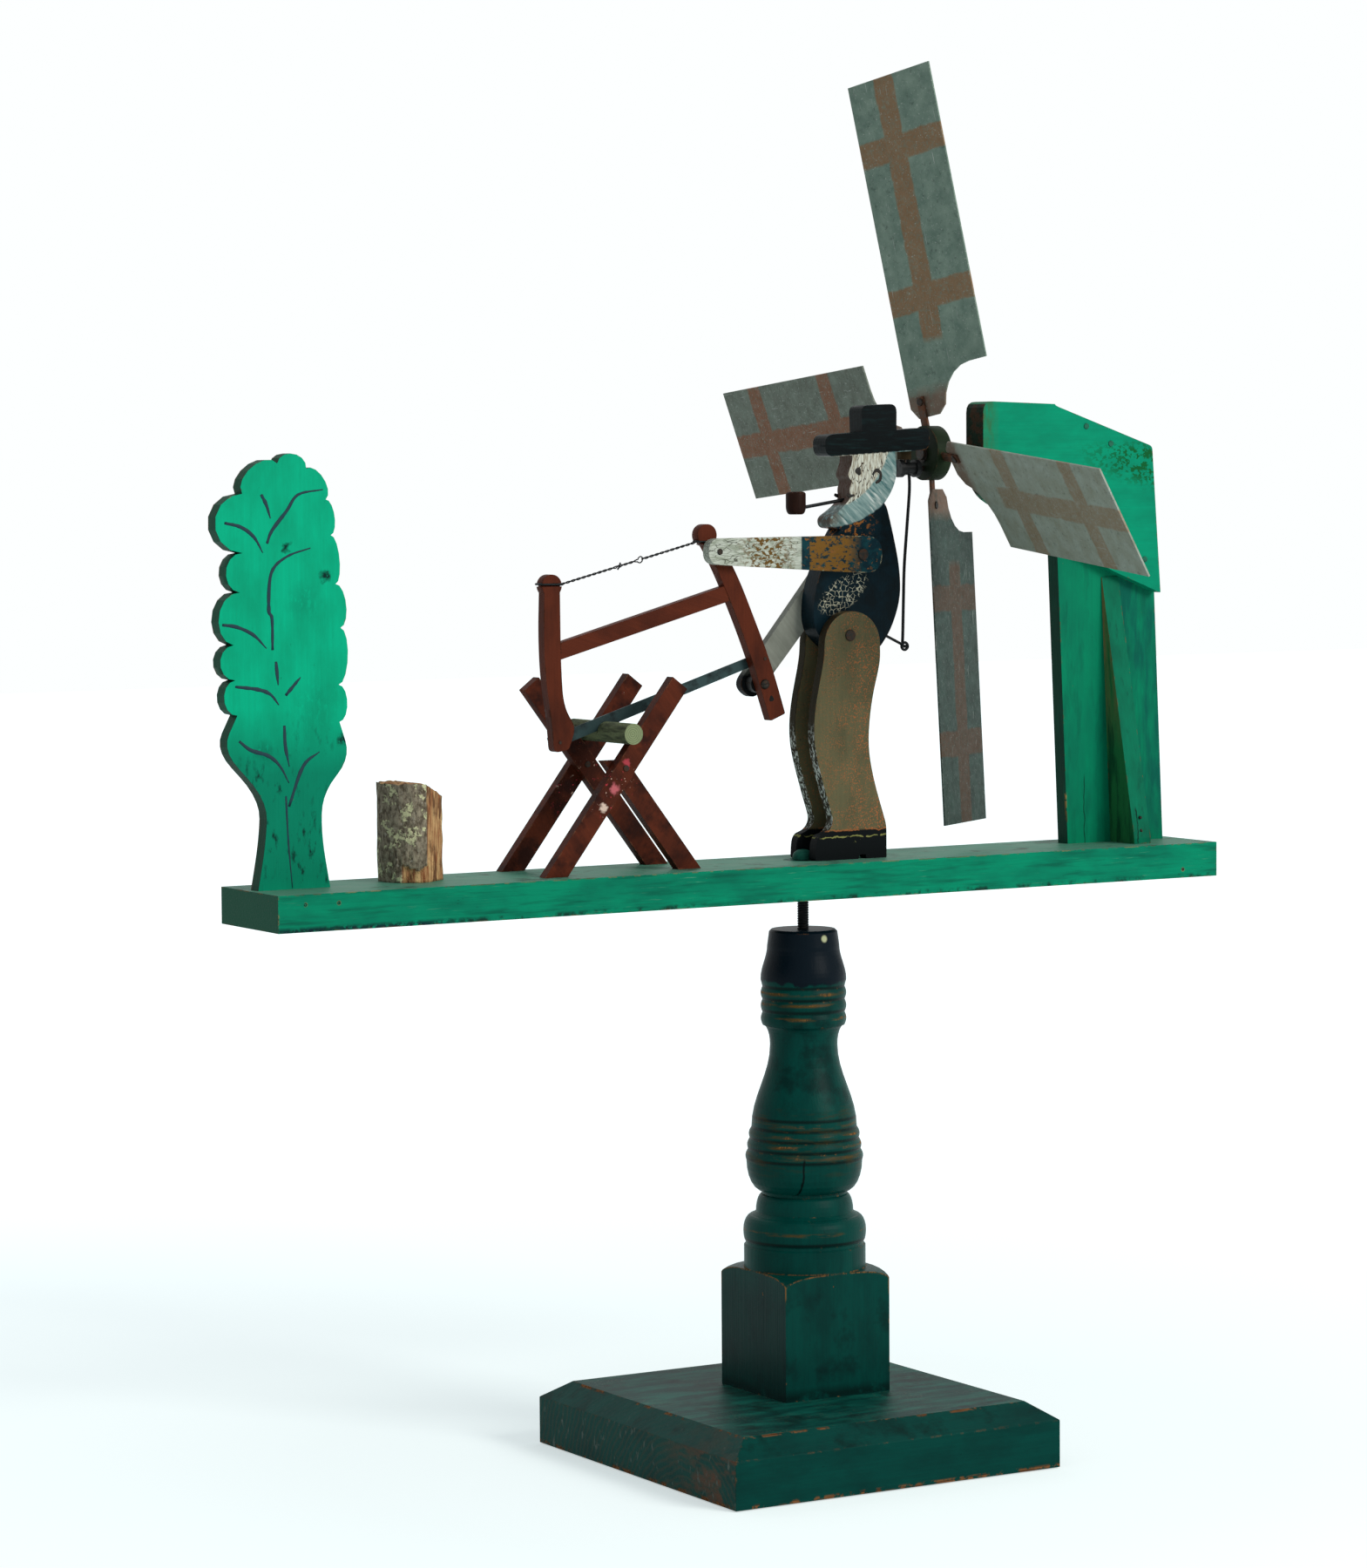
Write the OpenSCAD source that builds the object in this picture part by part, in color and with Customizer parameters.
// Figural whirligig: a sawyer rocks over a sawbuck, driven by a four-bladed propeller.
// Origin: on the spindle axis, on the underside of the base board. X runs along the plank
// towards the vane, -Y is the side that the sawyer's painted face shows to, Z is up.

/* [Base board] */
// Length of the base board, along the plank
base_l = 195; // [170:1:240]
// Width of the base board, across the plank
base_w = 199; // [170:1:240]
// Height of the base board
base_t = 33.5; // [28:0.5:44]
// Height of the upright face below the chamfer
base_face = 24.5; // [16:0.5:26]
// How far the chamfer runs in from each side
base_inset = 13; // [6:0.5:20]
// How far the board's middle lies from the post, along the plank
base_off_x = -10; // [-14:0.5:14]
// How far the board's middle lies from the post, across the plank
base_off_y = -6.5; // [-14:0.5:14]

/* [Newel column] */
// Width of the square block
block_w = 63.5; // [60:0.5:70]
// Height of the square block
block_h = 64; // [54:0.5:80]
// Height of the turned shoulder on the block's corners
shoulder_h = 7; // [4:0.5:10]
// Radius of the plain band above the block
band_r = 31.7; // [29:0.1:31.7]
// Height of the plain band
band_h = 11.5; // [8:0.5:18]
// Height of the ring above the band
ring_h = 16; // [12:0.5:22]
// Radius of the neck under the belly
neck_r = 22; // [18:0.5:24]
// Height of the cove below the neck
cove_h = 12.4; // [9:0.1:18]
// Largest radius of the belly
belly_r = 30.2; // [27:0.1:31]
// Height of the belly with its three beads
belly_h = 33.4; // [28:0.2:42]
// Radius of the waist
waist_r = 17.6; // [14.5:0.1:19]
// Height of the long taper from belly to waist
taper_h = 43; // [34:0.5:56]
// Radius of the three upper beads
collar_r = 21.4; // [20:0.1:24]
// Height of the flare under the upper beads
flare_h = 10.4; // [8:0.2:14]
// Height of the three upper beads
collar_h = 20; // [16:0.5:26]
// Radius of the column's top face
head_r = 17.8; // [15:0.1:20]
// Height of the plain head above the beads
head_h = 29.8; // [24:0.2:38]

/* [Spindle] */
// Diameter of the threaded spindle rod
rod_d = 6.35; // [5:0.05:7.5]
// How deep the rod is let into the column
rod_depth = 70; // [40:1:90]
// Clear height between the column and the plank
plank_gap = 17.6; // [12:0.2:26]
// Width across the flats of the support nut
nut_af = 11.1; // [11:0.1:13]
// Height of the support nut
nut_h = 6; // [5:0.1:7]
// How far the support nut stands out below the plank
nut_proud = 1.5; // [0.5:0.1:3]
// Radius of the wear washer let into the plank
washer_r = 10; // [8:0.5:12]
// Thickness of thin steel washers
washer_t = 1; // [0.6:0.1:1.6]
// Radius of the domed nut
dome_r = 5.3; // [4.8:0.1:5.5]
// Height of the domed nut
dome_h = 5.4; // [4.8:0.1:6.5]

/* [Plank] */
// Width of the plank
plank_w = 63.5; // [60:0.5:72]
// Thickness of the plank
plank_t = 18.3; // [16:0.1:22]
// Distance from the spindle to the plank's tree end
plank_left = 317; // [310:0.5:330]
// Distance from the spindle to the plank's tail end
plank_right = 243.5; // [238:0.5:260]
// Depth of the notches that hold the tree and the post
notch_d = 10; // [6:0.5:12]

/* [Tree and stump] */
// Thickness of the tree board
tree_t = 8.5; // [6:0.1:11]
// Distance from the plank's end to the middle of the trunk
tree_x = 23.5; // [22:0.5:28]
// Distance of the tree's middle plane behind the plank's middle
tree_y = 2.5; // [-6:0.5:8]
// Distance of the stump from the spindle
stump_x = 224.4; // [218:1:236]
// Distance of the stump behind the plank's middle
stump_y = 8; // [-8:0.5:10]
// Mean radius of the stump
stump_r = 16.6; // [14:0.2:20]
// Height of the stump at its tall side
stump_h = 50; // [40:1:64]

/* [Sawbuck] */
// Distance of the sawbuck's middle from the spindle
buck_x = 117; // [112:0.5:122]
// Spread of the feet
buck_feet = 81; // [72:0.5:92]
// Spread of the upper ends
buck_tops = 64; // [56:0.5:74]
// Height of the upper ends
buck_h = 95; // [88:0.5:104]
// Width of the sawbuck strips
strip_w = 10.5; // [9:0.1:11.5]
// Thickness of the sawbuck strips
strip_t = 6; // [4:0.1:6.5]
// Front face of the front cross
buck_front = -20; // [-22:0.5:-20]
// Front face of the rear cross
buck_rear = 19; // [15:0.5:19]
// Radius of the log
log_r = 5.3; // [4.5:0.1:6]
// How far the log stands out past both crosses
log_over = 5; // [2:0.5:12]

/* [Figure] */
// Distance of the hip nail from the spindle
hip_x = 21.6; // [20:0.2:24]
// Height of the hip nail above the plank
hip_h = 116.2; // [114:0.2:119]
// Middle plane of the torso board
figure_y = -0.5; // [-1:0.1:0]
// Thickness of the torso board
torso_t = 12; // [11.4:0.1:12]
// Thickness of the leg boards
leg_t = 6; // [5:0.1:6.5]
// Thickness of the near arm
arm_t = 6; // [5:0.1:6.5]
// Thickness of the far arm
far_arm_t = 5; // [4:0.1:6]
// Distance between the nails of an arm
arm_l = 86.5; // [85:0.1:88]
// Half width of an arm at the hand
hand_r = 6.5; // [5.5:0.1:7]
// Half width of the near arm at the shoulder
shoulder_r = 9.5; // [8:0.1:10]
// Gap between boards that slide past each other
board_gap = 0.3; // [0.25:0.01:0.35]
// Radius of the hip and shoulder nails
nail_r = 1.5; // [1.2:0.05:1.8]
// Radius of small wire nails
brad_r = 0.8; // [0.6:0.05:1]

/* [Saw] */
// Thickness of the saw frame
frame_t = 6; // [5:0.1:6]
// Distance of the far upright from the hand nail, along the plank
saw_reach = 94; // [90:0.5:98]
// Width of the crossbar
bar_w = 8.2; // [6.5:0.1:10]
// Height of the blade at its far end
blade_w = 6.4; // [5:0.1:7]
// Thickness of the saw blade
blade_t = 0.9; // [0.6:0.1:1.2]
// Radius of the top wire
wire_r = 0.8; // [0.6:0.05:1]

/* [Post and vane] */
// Distance from the plank's tail end to the middle of the post's foot
post_back = 41.5; // [38:0.5:44]
// Width of the post
post_w = 63; // [56:0.5:66]
// Thickness of the post
post_t = 9; // [7:0.1:10]
// Lean of the post towards the figure
post_lean = 2.4; // [1:0.1:3]
// Thickness of the vane board
vane_t = 16; // [14:0.1:18]
// How far the vane's upper edge runs past the middle of the post
vane_tail = 21.5; // [16:0.5:26]
// Thickness of the fin that braces the post
fin_t = 10.8; // [8:0.2:13]
// Depth of the fin at its foot
fin_d = 22; // [16:0.5:24]
// Height of the fin
fin_h = 143; // [120:1:146]

/* [Propeller] */
// Room between the circle of the blade tips and the plank
tip_gap = 12.4; // [10:0.1:18]
// Distance of the axle behind the plank's middle
axle_y = 8; // [7.8:0.1:8.4]
// Radius of the axle screw
axle_r = 2; // [1.6:0.05:2.4]
// Front face of the hub, from the spindle
hub_x = 81; // [80.8:0.1:82]
// Radius of the hub
hub_r = 14.3; // [13:0.1:16]
// Thickness of the hub
hub_t = 9; // [8.6:0.1:10]
// Throw of the crank pin
crank_r = 8; // [7:0.1:9]
// Clear length of axle between hub and vane
axle_gap = 21.5; // [20:0.1:23]
// Distance from the axle to the blade tips
tip_r = 197.6; // [180:0.5:200]
// How much shorter each blade was cut: top, front, bottom, rear
tip_short = [0, 13.6, 1.4, 2]; // [0:0.1:16]
// Distance from the axle to the root end of the blades
root_r = 19; // [17:0.5:24]
// Distance from the axle to the square inner corner of the blades
inner_r = 42; // [38:0.5:52]
// Width of the blades
blade_chord = 61.9; // [50:0.2:64]
// Distance from the strap line to the plain edge of the blades
plain_edge = 9.4; // [8:0.2:14]
// Thickness of the blade sheet
sheet_t = 0.9; // [0.6:0.1:1.2]
// Pitch of the four blades: top, front, bottom, rear
blade_pitch = [10.1, 30.6, 54.7, -16.9]; // [-60:0.1:60]
// How far each blade is bent away from square to the axle
blade_bend = [-7.5, -5.8, 1.4, 2.3]; // [-8:0.1:8]
// How far each blade is turned round the axle from square
blade_turn = [-8.4, 5.2, -2.6, -4.6]; // [-10:0.1:10]
// Width of the strap arms
strap_w = 4.6; // [3.5:0.1:5.5]
// Thickness of the strap arms
strap_t = 1.4; // [1:0.1:1.8]

/* [Hidden] */

// Clearances: a running fit, a seat within one assembly, and a gap between faces
run_fit = 0.05;
seat_fit = 0.03;
face_gap = 0.25;
through = 1;

// Heights of the stand
block_top = base_t + block_h;
column_top = block_top + band_h + ring_h + cove_h + belly_h + taper_h + flare_h + collar_h + head_h;
plank_z = column_top + plank_gap;
deck = plank_z + plank_t;
rod_r = rod_d / 2;

// Lengths that follow from others
plank_l = plank_left + plank_right;
post_x = plank_right - post_back;
axle_h = tip_r + tip_gap;

// Colours of the paint and metal
plank_green = "#0b9a6c";
base_green = "#0c4a40";
frame_red = "#7c3322";
sheet_grey = "#7d8a80";
steel = "#5b5f5e";

// Planes of the figure
torso_y0 = figure_y - torso_t / 2;
torso_y1 = torso_y0 + torso_t;
near_leg_y = torso_y0 - board_gap - leg_t;
far_leg_y = torso_y1 + board_gap;
near_arm_y = torso_y0 - board_gap - arm_t;
far_arm_y = torso_y1 + board_gap;
frame_y = torso_y0;
frame_back = frame_y + frame_t;

// Nail positions, each [x, z]
hip = [hip_x, deck + hip_h];
shoulder = hip + [8.1, 41.7];
near_arm_angle = 178.2;
far_arm_angle = 229.5;
hand = shoulder + arm_l * [cos(near_arm_angle), sin(near_arm_angle)];
grip = shoulder + arm_l * [cos(far_arm_angle), sin(far_arm_angle)];

// Axle, crank and rod
axle_z = deck + axle_h;
hub_back = hub_x + hub_t;
vane_x = hub_back + axle_gap;
vane_l = post_x + vane_tail - vane_x;
crank_z = axle_z - crank_r;
eye = hip + [45.9, -7.3];
eye_y = axle_y - 2.3;
rod_wire_r = 0.85;
foot_r = 0.8;

// Vane and post
vane_y = figure_y - 3;
vane_back = vane_y + vane_t;
post_y = vane_back - post_t;

// Outline helpers
function dist(p, q) = norm([p[0] - q[0], p[1] - q[1]]);
function mix(p, q, t) = [p[0] + (q[0] - p[0]) * t, p[1] + (q[1] - p[1]) * t];
function toward(p, q, d) = mix(p, q, min(d / dist(p, q), 0.48));
function curve(a, p, b, t) = mix(mix(a, p, t), mix(p, b, t), t);
// Closed outline from corners [x, z, rounding], each corner eased into a curve
function soft(c, n = 5) = [
    for (i = [0:len(c) - 1])
        let (p = c[i], a = c[(i + len(c) - 1) % len(c)], b = c[(i + 1) % len(c)], steps = p[2] > 0 ? n : 0)
        for (k = [0:steps])
            steps == 0 ? [p[0], p[1]] : curve(toward(p, a, p[2]), p, toward(p, b, p[2]), k / steps)
];
// Half-oval lobe from a to b that swells to the left of the way from a to b
function lobe(a, b, swell, n = 7) = [
    for (k = [0:n - 1])
        let (u = 180 * k / n, d = [b[0] - a[0], b[1] - a[1]] / dist(a, b))
        mix(a, b, (1 - cos(u)) / 2) + swell * sin(u) * [-d[1], d[0]]
];
function shift(pts, at) = [for (p = pts) [p[0] + at[0], p[1] + at[1]]];

// Profile helpers for turned work, points are [radius, height]
function part_way(a, b, s, t) = [a[0] + (b[0] - a[0]) * s, a[1] + (b[1] - a[1]) * t];
function ogee(a, b, n = 8) = [
    for (k = [0:n - 1])
        part_way(a, b, (1 - cos(180 * k / n)) / 2, k / n)
];
function swell_out(a, b, n = 6) = [
    for (k = [0:n - 1])
        part_way(a, b, sin(90 * k / n), 1 - cos(90 * k / n))
];
function swell_in(a, b, n = 6) = [
    for (k = [0:n - 1])
        part_way(a, b, 1 - cos(90 * k / n), sin(90 * k / n))
];
function beads(a, b, count, proud, n = 6) = [
    for (i = [0:count - 1])
        for (k = [0:n - 1])
            let (t = (i + k / n) / count)
            [a[0] + (b[0] - a[0]) * t + proud * sin(180 * k / n), a[1] + (b[1] - a[1]) * t]
];

// A board cut to an [x, z] outline, from y0 to y0 + t
module board(outline, y0, t) {
    translate([0, y0 + t, 0])
        rotate([90, 0, 0])
            linear_extrude(t)
                polygon(outline);
}
// Round bar along Y
module bar_y(at, y0, y1, r) {
    translate([at[0], y1, at[1]])
        rotate([90, 0, 0])
            cylinder(h = y1 - y0, r = r, $fn = 32);
}
// Round bar along X on the line [y, z]
module bar_x(x0, x1, at, r) {
    translate([x0, at[0], at[1]])
        rotate([0, 90, 0])
            cylinder(h = x1 - x0, r = r, $fn = 32);
}
// Round bar between two points in space
module wire(p, q, r) {
    d = q - p;
    translate(p)
        rotate([0, acos(d[2] / norm(d)), atan2(d[1], d[0])])
            cylinder(h = norm(d), r = r, $fn = 24);
}
// Small round swelling where a wire bends
module bend(p, r) {
    translate(p)
        sphere(r = r * 1.04, $fn = 24);
}
// Nail along Y with its head at y0
module nail_y(at, y0, y1, r) {
    bar_y(at, y0, y1, r);
    bar_y(at, y0 - r * 0.6, y0, r * 2);
}
// Nail driven up from below, with its head let into the plank
module nail_up(at, z0, z1, r) {
    translate([at[0], at[1], z0])
        cylinder(h = z1 - z0, r = r, $fn = 24);
    translate([at[0], at[1], z0])
        cylinder(h = r, r = r * 2, $fn = 24);
}

// Base board
screw_r = 2.2;
screw_head_r = 4.4;
screw_head_h = 3;
screw_up = 38;
screw_span = block_w - 24;
screw_places = [for (x = [-0.5, 0.5]) for (y = [-0.5, 0.5]) [x * screw_span, y * screw_span]];
module screw_cut(fit) {
    for (p = screw_places)
        translate([p[0], p[1], 0]) {
            cylinder(h = base_t + screw_up + fit, r = screw_r + fit, $fn = 24);
            translate([0, 0, -through])
                cylinder(h = screw_head_h + through + fit, r = screw_head_r + fit, $fn = 24);
        }
}
module chamfer_cut(length, depth) {
    rotate([90, 0, 90])
        linear_extrude(length + 2 * through, center = true)
            polygon([
                [-depth / 2 - through, base_t + through], [-depth / 2 - through, base_face],
                [-depth / 2, base_face], [-depth / 2 + base_inset, base_t],
                [-depth / 2 + base_inset, base_t + through]
            ]);
}
module base_board() {
    color(base_green)
        difference() {
            translate([base_off_x, base_off_y, 0])
                difference() {
                    translate([-base_l / 2, -base_w / 2, 0])
                        cube([base_l, base_w, base_t]);
                    for (a = [0, 180])
                        rotate([0, 0, a])
                            chamfer_cut(base_l, base_w);
                    for (a = [90, 270])
                        rotate([0, 0, a])
                            chamfer_cut(base_w, base_l);
                }
            screw_cut(seat_fit);
        }
}
module base_screws() {
    color(steel)
        for (p = screw_places)
            translate([p[0], p[1], 0]) {
                translate([0, 0, screw_head_h])
                    cylinder(h = base_t + screw_up - screw_head_h, r = screw_r, $fn = 24);
                translate([0, 0, screw_head_h / 3])
                    cylinder(h = screw_head_h * 2 / 3, r = screw_head_r, $fn = 24);
            }
}

// Turned newel column on its square block
ring_z = block_top + band_h;
cove_z = ring_z + ring_h;
belly_z = cove_z + cove_h;
taper_z = belly_z + belly_h;
flare_z = taper_z + taper_h;
collar_z = flare_z + flare_h;
head_z = collar_z + collar_h;
groove = 0.9;
fillet_r = neck_r + 3.4;
belly_low = 0.48;
column_profile = concat(
    [[0, block_top - through], [band_r, block_top - through]],
    [[band_r, ring_z], [band_r - groove, ring_z + 0.8]],
    swell_out([band_r - groove, ring_z + 2.3], [band_r + 0.3, ring_z + ring_h / 2]),
    swell_in([band_r + 0.3, ring_z + ring_h / 2], [fillet_r + 2.1, cove_z]),
    [[fillet_r + 2.1, cove_z], [fillet_r, cove_z + 1.6]],
    swell_in([fillet_r, cove_z + 1.6], [neck_r, belly_z - 1.5]),
    [[neck_r, belly_z - 1.5], [neck_r, belly_z]],
    swell_out([neck_r, belly_z], [belly_r, belly_z + belly_h * belly_low]),
    beads([belly_r, belly_z + belly_h * belly_low], [belly_r - 2.7, taper_z], 3, groove),
    ogee([belly_r - 2.7, taper_z], [waist_r, flare_z]),
    swell_in([waist_r, flare_z], [collar_r, collar_z]),
    beads([collar_r, collar_z], [collar_r, head_z], 3, groove),
    [[collar_r, head_z], [collar_r + groove, head_z + 3.5]],
    ogee([collar_r + groove, head_z + 4], [head_r + 1, head_z + head_h * 0.72]),
    [[head_r + 1, head_z + head_h * 0.72], [head_r, column_top - 1.2]],
    [[head_r - 1.2, column_top], [0, column_top]]
);
corner_r = block_w / sqrt(2) + 1;
block_profile = concat(
    [[0, base_t], [corner_r, base_t], [corner_r, block_top - shoulder_h]],
    swell_in([corner_r, block_top - shoulder_h], [band_r, block_top]),
    [[band_r, block_top], [0, block_top]]
);
module column() {
    color(base_green)
        difference() {
            union() {
                intersection() {
                    translate([-block_w / 2, -block_w / 2, base_t])
                        cube([block_w, block_w, block_h]);
                    rotate_extrude($fn = 64)
                        polygon(block_profile);
                }
                rotate_extrude($fn = 64)
                    polygon(column_profile);
            }
            translate([0, 0, column_top - rod_depth - seat_fit])
                cylinder(h = rod_depth + through, r = rod_r + seat_fit, $fn = 48);
            screw_cut(seat_fit);
        }
}

// Spindle
rod_top = deck + dome_h * 0.55;
module spindle_rod() {
    color(steel)
        translate([0, 0, column_top - rod_depth])
            cylinder(h = rod_top - column_top + rod_depth, r = rod_r, $fn = 48);
}
nut_z = plank_z - nut_proud;
nut_corner = nut_af / sqrt(3);
module support_nut() {
    color(steel)
        translate([0, 0, nut_z])
            difference() {
                cylinder(h = nut_h, r = nut_corner, $fn = 6);
                translate([0, 0, -through])
                    cylinder(h = nut_h + 2 * through, r = rod_r + seat_fit, $fn = 48);
            }
}
module dome_nut() {
    color(plank_green)
        difference() {
            rotate_extrude($fn = 48)
                polygon(concat(
                    [[0, deck + face_gap], [dome_r, deck + face_gap]],
                    swell_in([dome_r, deck + 1.6], [1, deck + dome_h]),
                    [[1, deck + dome_h], [0, deck + dome_h]]
                ));
            cylinder(h = rod_top + seat_fit, r = rod_r + seat_fit, $fn = 48);
        }
}

// Plank and what is let into it
tree_mid = tree_x - plank_left;
tree_y0 = tree_y - tree_t / 2;
tree_foot = 19.5;
nut_room = nut_corner + 0.6;
edge_nail = [post_x + 19, plank_z + 4.5];
module plank() {
    color(plank_green)
        difference() {
            translate([-plank_left, -plank_w / 2, plank_z])
                cube([plank_l, plank_w, plank_t]);
            translate([0, 0, plank_z - through])
                cylinder(h = plank_t + 2 * through, r = rod_r + run_fit, $fn = 48);
            translate([0, 0, plank_z - through])
                cylinder(h = nut_h - nut_proud + face_gap + through, r = nut_room, $fn = 48);
            translate([0, 0, deck - washer_t - 0.1])
                cylinder(h = washer_t + through, r = washer_r + seat_fit, $fn = 48);
            translate([tree_mid - tree_foot - seat_fit, tree_y0 - seat_fit, deck - notch_d])
                cube([2 * (tree_foot + seat_fit), tree_t + 2 * seat_fit, notch_d + through]);
            post_blank(seat_fit);
            plank_nail_set(seat_fit);
            bar_y(edge_nail, -plank_w / 2 - through, post_y + through, brad_r + seat_fit);
            for (x = tree_nail_x)
                bar_y([x, tree_nail_z], -plank_w / 2 - through, tree_y0 + through, brad_r + seat_fit);
        }
}
module wear_washer() {
    color(plank_green)
        translate([0, 0, deck - washer_t - 0.1])
            difference() {
                cylinder(h = washer_t, r = washer_r, $fn = 48);
                translate([0, 0, -through])
                    cylinder(h = washer_t + 2 * through, r = rod_r + face_gap, $fn = 48);
            }
}

// Tree: lobes between valleys, each row [x, height, swell of the lobe that starts there]
tree_left = [
    [-29.5, 85.5, 6.5], [-30.4, 102.6, 7.5], [-31.1, 119.6, 9.5], [-27.4, 144.9, 8], [-25.8, 163.9, 14.5],
    [-25.4, 192.5, 7], [-6.5, 207, 6]
];
tree_right = [
    [9.1, 204.4, 5], [19.5, 189.3, 3.5], [22, 171.9, 3.5], [24.3, 148.1, 4.5], [26.7, 126.7, 4.5],
    [25.4, 98.9, 4.5]
];
tree_rows = concat(tree_left, tree_right);
tree_last = [25.6, 80.7];
tree_crown = [
    for (i = [0:len(tree_rows) - 1])
        let (a = tree_rows[i], b = i < len(tree_rows) - 1 ? tree_rows[i + 1] : tree_last)
        each lobe([a[0], a[1]], [b[0], b[1]], a[2])
];
tree_trunk = soft([
    [tree_last[0], tree_last[1], 0], [31.5, 63, 12], [15.8, 46, 14], [15, 26, 14], [tree_foot, 0, 0],
    [tree_foot, -notch_d, 0], [-tree_foot, -notch_d, 0], [-tree_foot, 0, 0], [-15, 24, 14],
    [-14, 44, 16], [-38, 69, 13], [tree_left[0][0], tree_left[0][1], 0]
]);
module tree() {
    color(plank_green)
        difference() {
            board(shift(concat(tree_crown, tree_trunk), [tree_mid, deck]), tree_y0, tree_t);
            for (x = tree_nail_x)
                bar_y([x, tree_nail_z], tree_y0 - through, tree_y0 + tree_t * 0.7, brad_r + seat_fit);
        }
}
tree_nail_x = [tree_mid - 9, tree_mid + 9];
tree_nail_z = deck - notch_d / 2;
module tree_nails() {
    color(steel)
        for (x = tree_nail_x)
            bar_y([x, tree_nail_z], -plank_w / 2, tree_y0 + tree_t * 0.7 - seat_fit, brad_r);
}

// Stump: an uneven round log, split off on one side, with a slanting top
stump_split = -50.6;
stump_round = [
    for (a = [0:7.5:352.5])
        let (r = stump_r * (1 + 0.03 * sin(3 * a + 40) + 0.02 * sin(7 * a)))
        [r * cos(a), r * sin(a)]
];
module stump() {
    color("#7a7466")
        translate([-stump_x, stump_y, deck])
            difference() {
                linear_extrude(stump_h)
                    polygon(stump_round);
                rotate([0, 0, stump_split])
                    translate([stump_r * 0.82, -stump_r * 1.5, -through])
                        cube([stump_r, stump_r * 3, stump_h + 2 * through]);
                translate([0, 0, stump_h - 0.5])
                    rotate([0, 25, 0])
                        translate([-through, -stump_r * 2, 0])
                            cube([stump_r * 4, stump_r * 4, stump_h]);
                translate([0, 0, -through])
                    cylinder(h = stump_nail_up + through + seat_fit, r = nail_r + seat_fit, $fn = 24);
            }
}

// Nails driven up through the plank into what stands on it: [x, y, radius, height above the plank]
stump_nail_up = 16;
plank_nail_places = [
    [-stump_x, stump_y, nail_r, stump_nail_up],
    [hip_x, near_leg_y + leg_t / 2, brad_r, 14],
    [hip_x, far_leg_y + leg_t / 2, brad_r, 14],
    [post_x - post_w / 4, post_y + post_t / 2, nail_r, 14],
    [post_x + post_w / 4 + 3, post_y + post_t / 2, nail_r, 14]
];
module plank_nail_set(fit) {
    for (n = plank_nail_places)
        nail_up([n[0], n[1]], plank_z + (fit > 0 ? -through : 0.3), deck + n[3] + fit, n[2] + fit);
}
module plank_nails() {
    color(steel) {
        plank_nail_set(0);
        bar_y(edge_nail, -plank_w / 2, post_y + post_t / 2, brad_r);
    }
}

// Sawbuck: strips lean across each other, the front cross has one cut-off arm
strip_rise = [(buck_feet + buck_tops) / 2, buck_h];
strip_dir = strip_rise / norm(strip_rise);
cross_h = buck_h * buck_feet / (buck_feet + buck_tops);
half_level = strip_w / 2 / strip_dir[1];
strip_end = [-strip_dir[1], strip_dir[0]] * strip_w / 2;
// Outline of a strip that rises to the right, with its foot cut level
strip_outline = [
    [-buck_feet / 2 - half_level, 0], [-buck_feet / 2 + half_level, 0],
    [buck_tops / 2 - strip_end[0], buck_h - strip_end[1]],
    [buck_tops / 2 + strip_end[0], buck_h + strip_end[1]]
];
module strip(y0, side) {
    difference() {
        translate([-buck_x, 0, deck])
            mirror([side < 0 ? 1 : 0, 0, 0])
                board(strip_outline, y0, strip_t);
        for (y = [buck_front, buck_rear])
            bar_y([-buck_x, deck + cross_h], y - through, y + 2 * strip_t + through, brad_r + seat_fit);
    }
}
module buck_front_long() {
    color(frame_red)
        strip(buck_front, 1);
}
module buck_front_short() {
    color(frame_red)
        difference() {
            strip(buck_front + strip_t, -1);
            translate([-buck_x - buck_feet, buck_front, deck + cross_h + strip_w * 0.35])
                cube([2 * buck_feet, 3 * strip_t, buck_h]);
        }
}
module buck_rear_a() {
    color(frame_red)
        strip(buck_rear, -1);
}
module buck_rear_b() {
    color(frame_red)
        strip(buck_rear + strip_t, 1);
}
module buck_nails() {
    color(steel)
        for (y = [buck_front, buck_rear])
            nail_y([-buck_x, deck + cross_h], y, y + 2 * strip_t - seat_fit, brad_r);
}
log_z = deck + cross_h + (strip_w / 2 + log_r) / strip_dir[0] + 0.1;
log_y0 = buck_front - log_over - 3;
log_y1 = buck_rear + 2 * strip_t + log_over - 3;
module log() {
    color("#8f9a80")
        difference() {
            bar_y([-buck_x, log_z], log_y0, log_y1, log_r);
            board(kerf_outline, blade_y - face_gap, blade_t + 2 * face_gap);
        }
}

// Legs: one outline for both, [x from the hip nail, height above the plank, rounding]
leg_outline = [
    [-15.6, 112, 0], [-16, 104, 8], [-22, 78, 12], [-22.5, 60, 14], [-17, 40, 14], [-10.5, 20, 4],
    [-14, 14.5, 5], [-21.3, 12.5, 8], [-22, 0, 2], [4.5, 0, 0], [5.5, 2.2, 0], [9, 2.2, 0], [9.5, 0, 0],
    [22, 0, 0.6], [22, 17, 3], [13.8, 42, 12], [10.6, 60, 14], [13, 82, 14], [18.6, 102, 8], [18.4, 112, 0]
];
leg_top = [1.4, 111.6];
leg_top_r = 17;
module leg(y0) {
    difference() {
        translate([hip_x, y0 + leg_t, deck])
            rotate([90, 0, 0])
                linear_extrude(leg_t) {
                    polygon(soft(leg_outline));
                    translate(leg_top)
                        circle(r = leg_top_r, $fn = 64);
                }
        bar_y(hip, y0 - through, y0 + leg_t + through, nail_r + seat_fit);
        plank_nail_set(seat_fit);
    }
}
module near_leg() {
    color("#66623f")
        leg(near_leg_y);
}
module far_leg() {
    color("#66623f")
        leg(far_leg_y);
}
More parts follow.
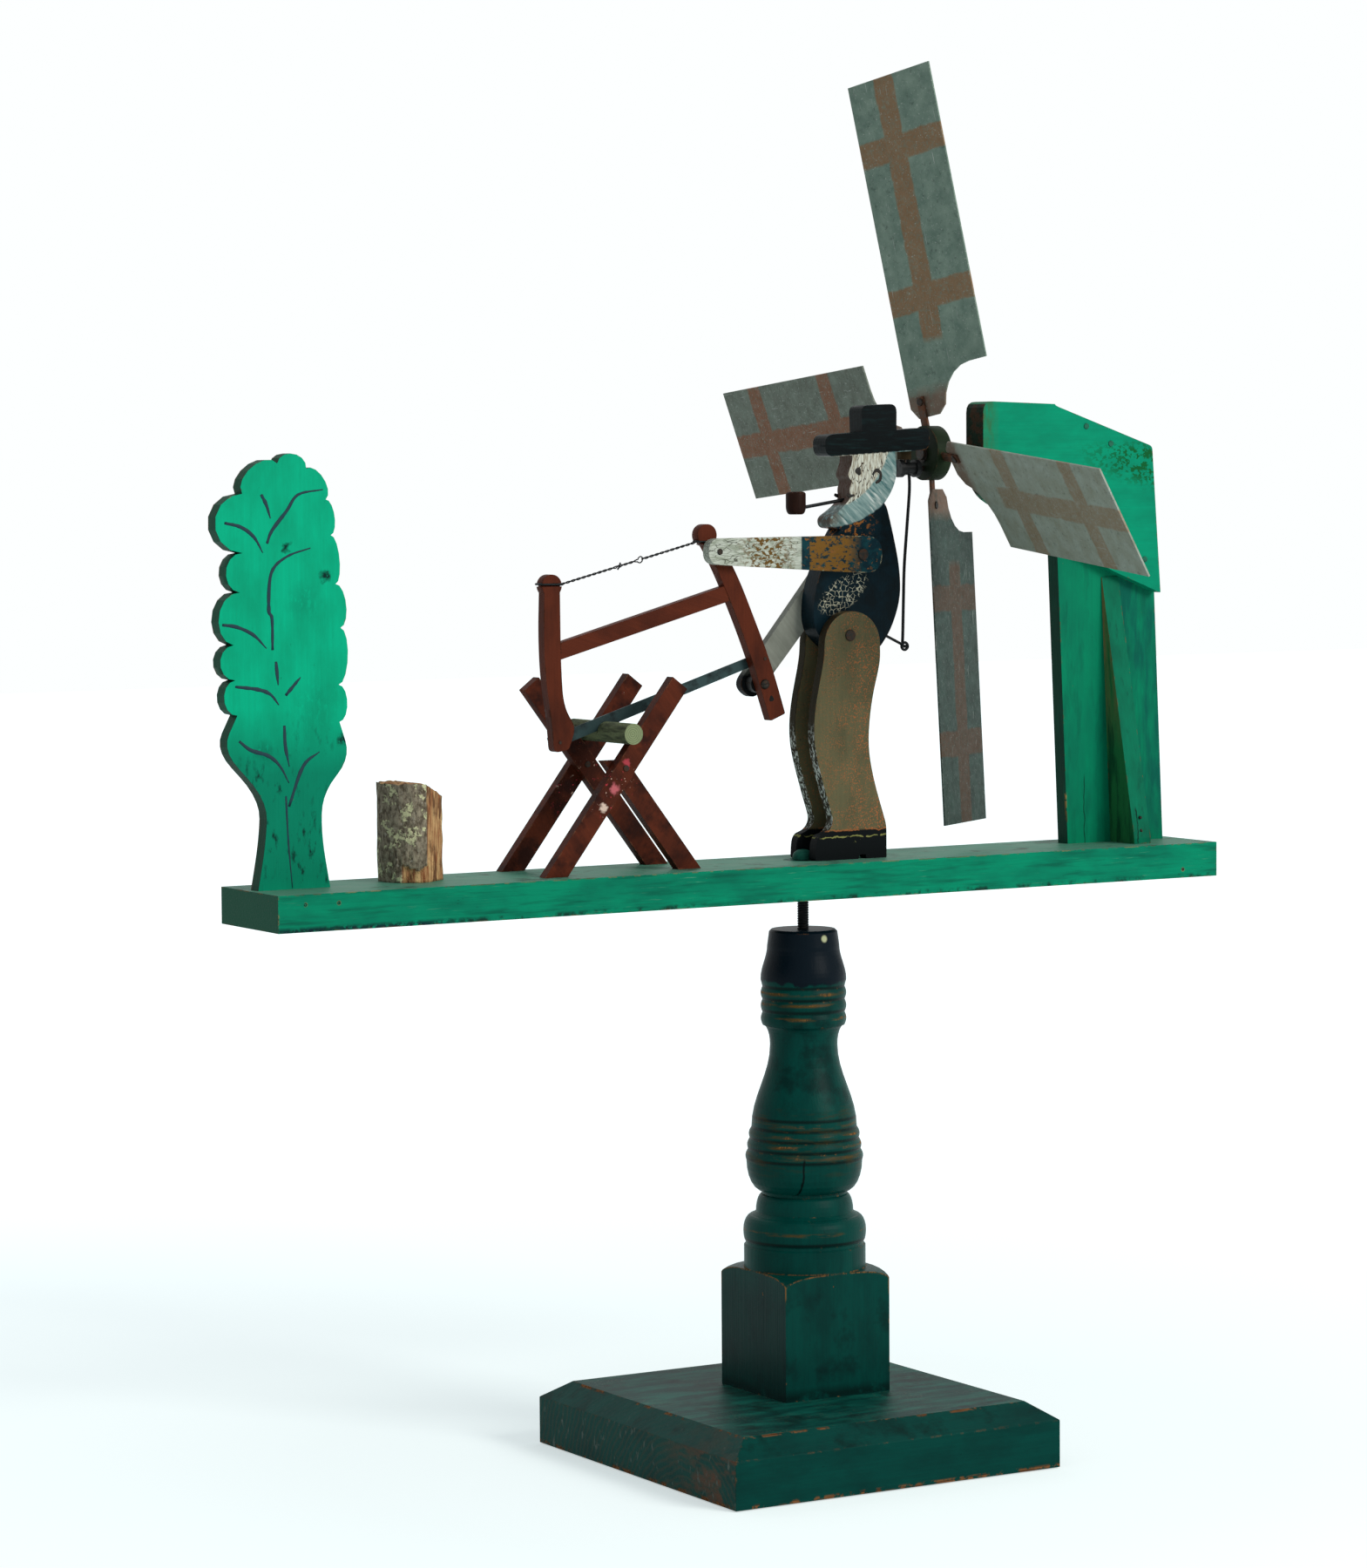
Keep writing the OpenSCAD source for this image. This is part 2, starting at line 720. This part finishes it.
module hip_nail() {
    color(steel)
        nail_y(hip, near_leg_y, far_leg_y + leg_t - seat_fit, nail_r);
}

// Post, let into the plank and leaning to the figure
vane_top = [[0, 27.2, 6], [46, 25.6, 0], [47, 24.6, 2], [vane_l - 2, 3, 2]];
post_rise = axle_h + 16;
module post_blank(fit) {
    translate([post_x, 0, deck])
        rotate([0, -post_lean, 0])
            board([
                [-post_w / 2 - fit, -notch_d - 2], [post_w / 2 + fit, -notch_d - 2],
                [post_w / 2 + fit, post_rise + 40], [-post_w / 2 - fit, post_rise + 40]
            ], post_y - fit, post_t + 2 * fit);
}
module below(z) {
    translate([-plank_left, -plank_w, z - plank_l])
        cube([2 * plank_l, 2 * plank_w, plank_l]);
}
module post() {
    color(plank_green)
        difference() {
            post_blank(0);
            below(deck - notch_d + seat_fit);
            board(shift(over_post, [vane_x, axle_z]), post_y - through, post_t + 2 * through);
            plank_nail_set(seat_fit);
            bar_y(edge_nail, -plank_w, post_y + post_t / 2 + seat_fit, brad_r + seat_fit);
            vane_nail_set(seat_fit);
            fin_nail_set(seat_fit);
        }
}
// The post is trimmed just below the vane's upper edge
over_post = [
    [-vane_l, 25], [47, 22.8], [vane_l - 2, 1.2], [2 * vane_l, -40], [2 * vane_l, 200], [-vane_l, 200]
];
// Fin: a tapered board on edge in front of the post, with its foot on the plank
module fin() {
    color(plank_green)
        difference() {
            translate([post_x, post_y - seat_fit, deck])
                rotate([0, -post_lean, 0])
                    translate([-fin_t / 2 + 2, 0, 0])
                        rotate([90, 0, 90])
                            linear_extrude(fin_t)
                                polygon([[0, -2], [-fin_d, -2], [-fin_d, 3], [-0.6, fin_h], [0, fin_h]]);
            below(deck);
            fin_nail_set(seat_fit);
        }
}
fin_nail_places = [[post_x + 1.4, deck + 7], [post_x + 1.2, deck + 14]];
module fin_nail_set(fit) {
    for (p = fin_nail_places)
        bar_y(p, post_y - fin_d - (fit > 0 ? 4 * through : 0), post_y + post_t / 2 + fit, brad_r + fit);
}
module fin_nails() {
    color(steel)
        fin_nail_set(0);
}

// Vane board, half lapped over the post
vane_outline = soft(concat(vane_top, [
    [vane_l + 3.5, -76, 0.6], [vane_l * 0.75, -63.8, 3], [5, -23, 8], [0, -10, 4]
]), 4);
module vane() {
    color(plank_green)
        difference() {
            board(shift(vane_outline, [vane_x, axle_z]), vane_y, vane_t);
            translate([0, seat_fit, 0])
                post_blank(seat_fit);
            lap_clear();
            bar_x(vane_x - through, vane_x + axle_in + seat_fit, [axle_y, axle_z], axle_r + seat_fit);
            vane_nail_set(seat_fit);
        }
}
// The lap runs out past the post's tail edge
module lap_clear() {
    translate([post_x, post_y - seat_fit, deck])
        rotate([0, -post_lean, 0])
            cube([post_w, post_t + 2 * through, 2 * axle_h]);
}
vane_nail_places = [[post_x - 24, axle_z + 13.8], [post_x - 8, axle_z + 4.5], [post_x + 14.4, axle_z - 57.8]];
module vane_nail_set(fit) {
    for (p = vane_nail_places)
        bar_y(p, vane_y - through, post_y + post_t * 0.7 + fit, brad_r + fit);
}
module vane_nails() {
    color(steel)
        for (p = vane_nail_places) {
            bar_y(p, vane_y, post_y + post_t * 0.7, brad_r);
            bar_y(p, vane_y - 0.5, vane_y, brad_r * 2);
        }
}

// Axle: a long screw in the vane's nose, on which the hub turns
axle_in = 40;
axle_head_t = 1.1;
front_washer_x = hub_x - face_gap - washer_t * 0.7;
module axle_screw() {
    color(steel) {
        bar_x(front_washer_x - seat_fit, vane_x + axle_in, [axle_y, axle_z], axle_r);
        bar_x(
            front_washer_x - seat_fit - axle_head_t, front_washer_x - seat_fit,
            [axle_y, axle_z], axle_r * 1.8
        );
    }
}
module front_washer() {
    color(steel)
        difference() {
            bar_x(front_washer_x, hub_x - face_gap, [axle_y, axle_z], axle_r * 2.4);
            bar_x(front_washer_x - through, hub_x, [axle_y, axle_z], axle_r + seat_fit);
        }
}
module axle_bush() {
    color("#8a7a55")
        difference() {
            bar_x(hub_back + face_gap, vane_x - seat_fit, [axle_y, axle_z], axle_r * 2.1);
            bar_x(hub_back, vane_x, [axle_y, axle_z], axle_r + seat_fit);
        }
}

// Torso, head and hat in one board, outlines from the hip nail
body_outline = [
    [-1, 56, 6], [-17, 28, 14], [-19, 4, 10], [-9, -6, 6], [0, -13, 10], [18, -12, 10], [29, 1, 8],
    [35.5, 18, 12], [35, 34, 14], [31, 52, 12], [26, 70, 6], [12, 70, 6]
];
head_outline = [
    [5.6, 97, 0], [6, 90, 2], [3, 82.5, 1.6], [5.5, 79.5, 1], [4, 75, 2], [5, 71, 2], [0, 66, 3],
    [-8.6, 60.5, 3],
    [-7.5, 55.5, 3], [8, 54, 10], [24, 65, 14], [34, 80, 12], [32, 97, 0]
];
brim_tilt = 3.2;
brim_l = 64.5;
brim_t = 11.5;
brim_at = [-10.2, 92];
crown_outline = [[12.5, 98, 0], [11.5, 118.5, 4], [33.5, 119.5, 4.5], [33.2, 98, 0]];
module figure_sheet() {
    polygon(shift(soft(body_outline), hip));
    polygon(shift(soft(head_outline), hip));
    polygon(shift(soft(crown_outline), hip));
    translate(hip + brim_at)
        rotate(brim_tilt)
            polygon(soft([
                [0, 0, brim_t * 0.45], [brim_l, 0, brim_t * 0.4],
                [brim_l, brim_t, brim_t * 0.3], [0, brim_t, brim_t * 0.45]
            ]));
}
hook_in = [hip[0] + 21, figure_y + 0.4, hip[1] + 3.3];
hook_out = [eye[0] - 2.2, eye_y, eye[1] + 1];
hook_r = 1.1;
module torso() {
    color("#16232b")
        difference() {
            translate([0, torso_y1, 0])
                rotate([90, 0, 0])
                    linear_extrude(torso_t)
                        figure_sheet();
            bar_y(hip, torso_y0 - through, torso_y1 + through, nail_r + run_fit);
            bar_y(shoulder, torso_y0 - through, torso_y1 + through, nail_r + seat_fit);
            wire(hook_in, hook_out, hook_r + seat_fit);
            wire(stem_in, stem_out, stem_r + seat_fit);
        }
}
module shoulder_nail() {
    color(steel)
        nail_y(shoulder, near_arm_y, far_arm_y + far_arm_t - seat_fit, nail_r);
}

// Pipe
stem_r = 0.9;
stem_in = [hip[0] + 9, figure_y, hip[1] + 70.6];
stem_out = [hip[0] - 20.4, figure_y, hip[1] + 66.2];
bowl_r = 5.2;
bowl_h = 11.8;
bowl_at = [hip[0] - 25, figure_y, hip[1] + 62.6];
module pipe_stem() {
    color("#23211f")
        difference() {
            wire(stem_in, stem_out, stem_r);
            translate(bowl_at)
                cylinder(h = bowl_h, r = bowl_r + seat_fit, $fn = 40);
        }
}
module pipe_bowl() {
    color("#2b1a14")
        translate(bowl_at)
            rotate_extrude($fn = 40)
                polygon(concat(
                    [[0, 0]], swell_out([bowl_r * 0.6, 0], [bowl_r, 4]),
                    [[bowl_r, 4], [bowl_r, bowl_h - 1], [bowl_r - 1, bowl_h], [0, bowl_h]]
                ));
}

// Screw hook at the back of the torso, its end beaten flat into an eye
eye_t = 1.4;
eye_r = 2.4;
module torso_hook() {
    color("#1d1f20")
        difference() {
            union() {
                wire(hook_in, hook_out, hook_r);
                bar_y(eye, eye_y - eye_t / 2, eye_y + eye_t / 2, eye_r);
            }
            bar_y(eye, eye_y - 3 * eye_t, eye_y + 3 * eye_t, foot_r + run_fit);
        }
}

// Arms: one outline, from the shoulder nail along +X to the hand nail
module arm(at, angle, y0, t, wide) {
    translate([at[0], y0 + t, at[1]])
        rotate([0, -angle, 0])
            rotate([90, 0, 0])
                linear_extrude(t)
                    difference() {
                        polygon(soft([
                            [-wide * 1.25, -wide, wide * 1.2], [arm_l * 0.1, -wide, 0],
                            [arm_l + hand_r, -hand_r, hand_r], [arm_l + hand_r, hand_r, hand_r],
                            [arm_l * 0.1, wide * 0.98, 0], [-wide * 1.25, wide, wide * 1.2]
                        ], 6));
                        circle(r = nail_r + run_fit, $fn = 32);
                        translate([arm_l, 0])
                            circle(r = brad_r + seat_fit, $fn = 32);
                    }
}
module near_arm() {
    color("#c9c7b6")
        arm(shoulder, near_arm_angle, near_arm_y, arm_t, shoulder_r);
}
module far_arm() {
    color("#a9aba2")
        arm(shoulder, far_arm_angle, far_arm_y, far_arm_t, shoulder_r - 1.7);
}
module hand_nail() {
    color(steel)
        nail_y(hand, near_arm_y, frame_y + frame_t / 2 - seat_fit, brad_r);
}
module handle_screw() {
    color("#3a2a20") {
        bar_y(grip, frame_y, far_arm_y + far_arm_t * 0.8, brad_r);
        bar_y(grip, frame_y - 1.4, frame_y, 2.6);
    }
}
module handle_spacer() {
    color("#1d1f20")
        difference() {
            bar_y(grip, frame_back + seat_fit, far_arm_y - seat_fit, 4.6);
            bar_y(grip, frame_y, far_arm_y + through, brad_r + seat_fit);
        }
}

// Saw frame: outlines from the hand nail; the far upright stands saw_reach away
far_up = hand - [saw_reach, 0];
near_upright_outline = [
    [-9.6, 6.6, 3], [-5, 3.6, 3], [4, -12.2, 12], [21.6, -52, 20], [33.6, -87.6, 1], [42.6, -84, 1],
    [33.6, -56, 20], [14.4, -12.4, 12], [4.2, 4, 4]
];
far_upright_outline = [
    [-4.6, -18, 1], [-5.3, -40, 12], [-4.4, -62, 14], [-1, -84, 12], [0.2, -99.4, 3], [8.6, -98, 2],
    [12.6, -87, 4], [5.8, -76, 8], [4.4, -55, 12], [4.2, -18, 1]
];
near_knob = hand + [-3.6, 8.4];
far_knob = far_up + [-0.3, -15.6];
knob_r = 5.6;
bar_from = far_up + [1, -49.4];
bar_to = hand + [9.5, -21.2];
bar_turn = atan2(bar_to[1] - bar_from[1], bar_to[0] - bar_from[0]);
bar_len = norm(bar_to - bar_from);
// The crossbar runs between the uprights and ends in a tenon at each side
module crossbar_shape(fit) {
    translate([bar_from[0], frame_y, bar_from[1]])
        rotate([0, -bar_turn, 0])
            translate([0, frame_t / 2 - 1.5 - fit, -bar_w / 2 + 1 - fit])
                cube([bar_len, 3 + 2 * fit, bar_w - 2 + 2 * fit]);
}
module near_upright_blank() {
    board(shift(soft(near_upright_outline), hand), frame_y, frame_t);
    bar_y(near_knob, frame_y, frame_back, knob_r);
}
module far_upright_blank() {
    board(shift(soft(far_upright_outline), far_up), frame_y, frame_t);
    bar_y(far_knob, frame_y, frame_back, knob_r);
}
module saw_near_upright() {
    color(frame_red)
        difference() {
            near_upright_blank();
            bar_y(hand, frame_y - through, frame_y + frame_t / 2, brad_r + seat_fit);
            bar_y(grip, frame_y - through, frame_back + through, brad_r + seat_fit);
            crossbar_shape(seat_fit);
            blade_pin_set(seat_fit);
            neck_groove(near_neck);
        }
}
module saw_far_upright() {
    color(frame_red)
        difference() {
            far_upright_blank();
            crossbar_shape(seat_fit);
            blade_pin_set(seat_fit);
            neck_groove(far_neck);
        }
}
module saw_crossbar() {
    color(frame_red) {
        crossbar_shape(0);
        difference() {
            translate([bar_from[0], frame_y + 0.2, bar_from[1]])
                rotate([0, -bar_turn, 0])
                    translate([0, 0, -bar_w / 2])
                        cube([bar_len, frame_t - 0.4, bar_w]);
            near_upright_room();
            far_upright_room();
        }
    }
}
module near_upright_room() {
    translate([0, -seat_fit, 0])
        board(
            shift(soft(near_upright_outline), hand + [-seat_fit, 0]),
            frame_y - through, frame_t + 2 * through
        );
}
module far_upright_room() {
    board(shift(soft(far_upright_outline), far_up + [seat_fit, 0]), frame_y - through, frame_t + 2 * through);
}

// Blade, flat on the back of the frame, from the far upright's foot to the near one
blade_y = frame_back + seat_fit;
blade_from = far_up + [3.6, -94.2];
blade_to = hand + [30.5, -55.4];
blade_turn_up = atan2(blade_to[1] - blade_from[1], blade_to[0] - blade_from[0]);
blade_len = norm(blade_to - blade_from);
blade_near_w = blade_w * 0.8;
module saw_blade() {
    color("#4b5f58")
        difference() {
            translate([blade_from[0], blade_y + blade_t, blade_from[1]])
                rotate([0, -blade_turn_up, 0])
                    rotate([90, 0, 0])
                        linear_extrude(blade_t)
                            polygon([
                                [-3, -blade_w / 2], [blade_len + 3, -blade_near_w / 2],
                                [blade_len + 3, blade_near_w / 2], [-3, blade_w / 2]
                            ]);
            blade_pin_set(seat_fit);
        }
}
module blade_pin_set(fit) {
    past = fit > 0 ? through : 0.3;
    for (p = [blade_from, blade_to])
        bar_y(p, frame_y - past, blade_y + blade_t + past, brad_r + fit);
}
module blade_pins() {
    color(steel)
        blade_pin_set(0);
}
// Saw cut in the log, along the blade's lower edge with room for its small swing
kerf_room = 0.7;
kerf_dir = (blade_to - blade_from) / blade_len;
kerf_side = [kerf_dir[1], -kerf_dir[0]];
kerf_mid = blade_from + kerf_dir * (-buck_x - blade_from[0]) / kerf_dir[0];
kerf_outline = [
    kerf_mid - kerf_dir * 3 * log_r + kerf_side * (blade_w / 2 + kerf_room),
    kerf_mid + kerf_dir * 3 * log_r + kerf_side * (blade_w / 2 + kerf_room),
    kerf_mid + kerf_dir * 3 * log_r - kerf_side * 3 * log_r,
    kerf_mid - kerf_dir * 3 * log_r - kerf_side * 3 * log_r
];

// Wire across the top of the frame, looped round both necks
near_neck = [near_knob[0] + 1.2, near_knob[1] - 3.6];
far_neck = [far_knob[0], far_knob[1] + 0.4];
neck_ys = [frame_y + wire_r + 0.1, frame_back - wire_r - 0.1];
module neck_groove(at) {
    cut = [6 * knob_r, 2 * wire_r + seat_fit, 2 * (wire_r + seat_fit)];
    for (y = neck_ys)
        translate([at[0], y + (y < frame_y + frame_t / 2 ? -1 : 1) * through / 2, at[1]])
            cube(cut + [0, through, 0], center = true);
}
module neck_loop(at, half) {
    for (y = neck_ys)
        wire([at[0] - half, y, at[1]], [at[0] + half, y, at[1]], wire_r);
    for (x = [-half, half]) {
        wire([at[0] + x, neck_ys[0], at[1]], [at[0] + x, neck_ys[1], at[1]], wire_r);
        for (y = neck_ys)
            bend([at[0] + x, y, at[1]], wire_r);
    }
}
module saw_wire() {
    mid_y = frame_y + frame_t / 2;
    half = knob_r + wire_r + 0.2;
    color("#23262a") {
        neck_loop(near_neck, half);
        neck_loop(far_neck, half);
        wire([far_neck[0] + half, mid_y, far_neck[1]], [near_neck[0] - half, mid_y, near_neck[1]], wire_r);
    }
}

// Crank rod: hangs from the crank spool and hooks through the torso's eye
spool_r = 4.6;
spool_x0 = hub_x - 16;
spool_l = 12.5;
// Bends of the rod, each [how far it lies past the eye, share of the height]
rod_bends = [[0, 0], [0.3, 0.07], [1.5, 0.42], [4.9, 0.82], [3.4, 1]];
rod_rise = crank_z + 7.6 - eye[1];
rod_points = [for (b = rod_bends) [eye[0] + b[0], axle_y, eye[1] + rod_rise * b[1]]];
rod_end = len(rod_points) - 1;
module crank_rod() {
    color("#23262a") {
        for (i = [0:rod_end - 1]) {
            wire(rod_points[i], rod_points[i + 1], rod_wire_r);
            bend(rod_points[i], rod_wire_r);
        }
        bar_y(eye, eye_y - eye_t / 2 - 1, axle_y, foot_r);
    }
}
// Straight bore for the rod's top end
module rod_bore() {
    top = rod_points[rod_end];
    low = rod_points[rod_end - 1];
    wire(low - (top - low), top + (top - low) * 0.02, rod_wire_r + seat_fit);
}
module rod_spool() {
    color("#17191b")
        difference() {
            union() {
                bar_x(spool_x0, spool_x0 + spool_l, [axle_y, crank_z], spool_r * 0.72);
                for (x = [0, spool_l - 2.6])
                    bar_x(spool_x0 + x, spool_x0 + x + 2.6, [axle_y, crank_z], spool_r);
            }
            rod_bore();
        }
}
keeper_size = [6.6, 3.5, 4.4];
keeper_x = rod_points[rod_end][0] - keeper_size[0] + 1.5;
module rod_keeper() {
    color("#9a7d55")
        difference() {
            translate([keeper_x, torso_y1 + 0.6, crank_z + spool_r + 0.1])
                cube(keeper_size);
            rod_bore();
        }
}

// Propeller
slot_fit = 0.04;
hub_mid = [hub_x + hub_t * 0.68, axle_y, axle_z];
module at_blade(i) {
    translate(hub_mid)
        rotate([90 * i + blade_turn[i], 0, 0])
            rotate([0, blade_bend[i], 0])
                rotate([0, 0, blade_pitch[i]])
                    children();
}
module hub() {
    color("#3d4a36")
        difference() {
            bar_x(hub_x, hub_back, [axle_y, axle_z], hub_r);
            bar_x(hub_x - through, hub_back + through, [axle_y, axle_z], axle_r + run_fit);
            bar_x(hub_x - through, hub_x + pin_in + seat_fit, [axle_y, crank_z], pin_r + seat_fit);
            for (i = [0:3])
                at_blade(i)
                    strap(slot_fit);
        }
}
pin_r = 1.4;
pin_in = 2.6;
module crank_pin() {
    color(steel)
        bar_x(hub_x - 1.7, hub_x + pin_in, [axle_y, crank_z], pin_r);
}
strap_in = 7;
rivet_at = 27.5;
strap_out = rivet_at + strap_w * 0.6;
module strap(fit) {
    translate([-sheet_t / 2 - strap_t - seat_fit - fit, -strap_w / 2 - fit, strap_in - fit])
        cube([strap_t + 2 * fit, strap_w + 2 * fit, strap_out - strap_in + fit]);
}
module strap_arm(i) {
    color("#6b4a33")
        at_blade(i)
            difference() {
                strap(0);
                rivet_hole();
            }
}
rivet_r = 1.1;
module rivet_hole() {
    translate([-5, 0, rivet_at])
        rotate([0, 90, 0])
            cylinder(h = 10, r = rivet_r + seat_fit, $fn = 24);
}
cut_r = inner_r - root_r;
tab_in = 16;
far_edge = blade_chord - plain_edge;
arc_mid = tab_in + cut_r;
// Sheet outline, [distance across from the strap line, distance from the axle]
function sheet_outline(tip) = concat(
    [[-plain_edge, tip], [-plain_edge, root_r + 6], [-plain_edge + 5, root_r]],
    [[tab_in - 5, root_r], [tab_in, root_r + 4]],
    [for (a = [170:-16:90]) [arc_mid + cut_r * cos(a), root_r + cut_r * sin(a)]],
    [[far_edge, inner_r], [far_edge, tip]]
);
module blade(i) {
    color(sheet_grey)
        at_blade(i)
            difference() {
                translate([-sheet_t / 2, 0, 0])
                    rotate([90, 0, 90])
                        linear_extrude(sheet_t)
                            polygon([for (p = sheet_outline(tip_r - tip_short[i])) [-p[0], p[1]]]);
                rivet_hole();
            }
}
module strap_arm_top() {
    strap_arm(0);
}
module strap_arm_front() {
    strap_arm(1);
}
module strap_arm_bottom() {
    strap_arm(2);
}
module strap_arm_rear() {
    strap_arm(3);
}
module blade_top() {
    blade(0);
}
module blade_front() {
    blade(1);
}
module blade_bottom() {
    blade(2);
}
module blade_rear() {
    blade(3);
}
module blade_rivets() {
    head = 0.7;
    front = -sheet_t / 2 - strap_t - seat_fit;
    color(steel)
        for (i = [0:3])
            at_blade(i)
                translate([0, 0, rivet_at])
                    rotate([0, 90, 0]) {
                        translate([0, 0, front])
                            cylinder(h = sheet_t / 2 - front, r = rivet_r, $fn = 24);
                        for (x = [front - head - seat_fit, sheet_t / 2 + seat_fit])
                            translate([0, 0, x])
                                cylinder(h = head, r = rivet_r * 1.9, $fn = 24);
                    }
}

base_board();
column();
base_screws();
spindle_rod();
support_nut();
dome_nut();
plank();
wear_washer();
tree();
tree_nails();
stump();
buck_front_long();
buck_front_short();
buck_rear_a();
buck_rear_b();
buck_nails();
log();
near_leg();
far_leg();
hip_nail();
plank_nails();
post();
fin();
fin_nails();
vane();
vane_nails();
axle_screw();
axle_bush();
front_washer();
torso();
pipe_stem();
pipe_bowl();
torso_hook();
shoulder_nail();
near_arm();
far_arm();
hand_nail();
handle_screw();
handle_spacer();
saw_far_upright();
saw_near_upright();
saw_crossbar();
saw_blade();
blade_pins();
saw_wire();
crank_rod();
rod_spool();
rod_keeper();
hub();
crank_pin();
strap_arm_top();
strap_arm_front();
strap_arm_bottom();
strap_arm_rear();
blade_top();
blade_front();
blade_bottom();
blade_rear();
blade_rivets();
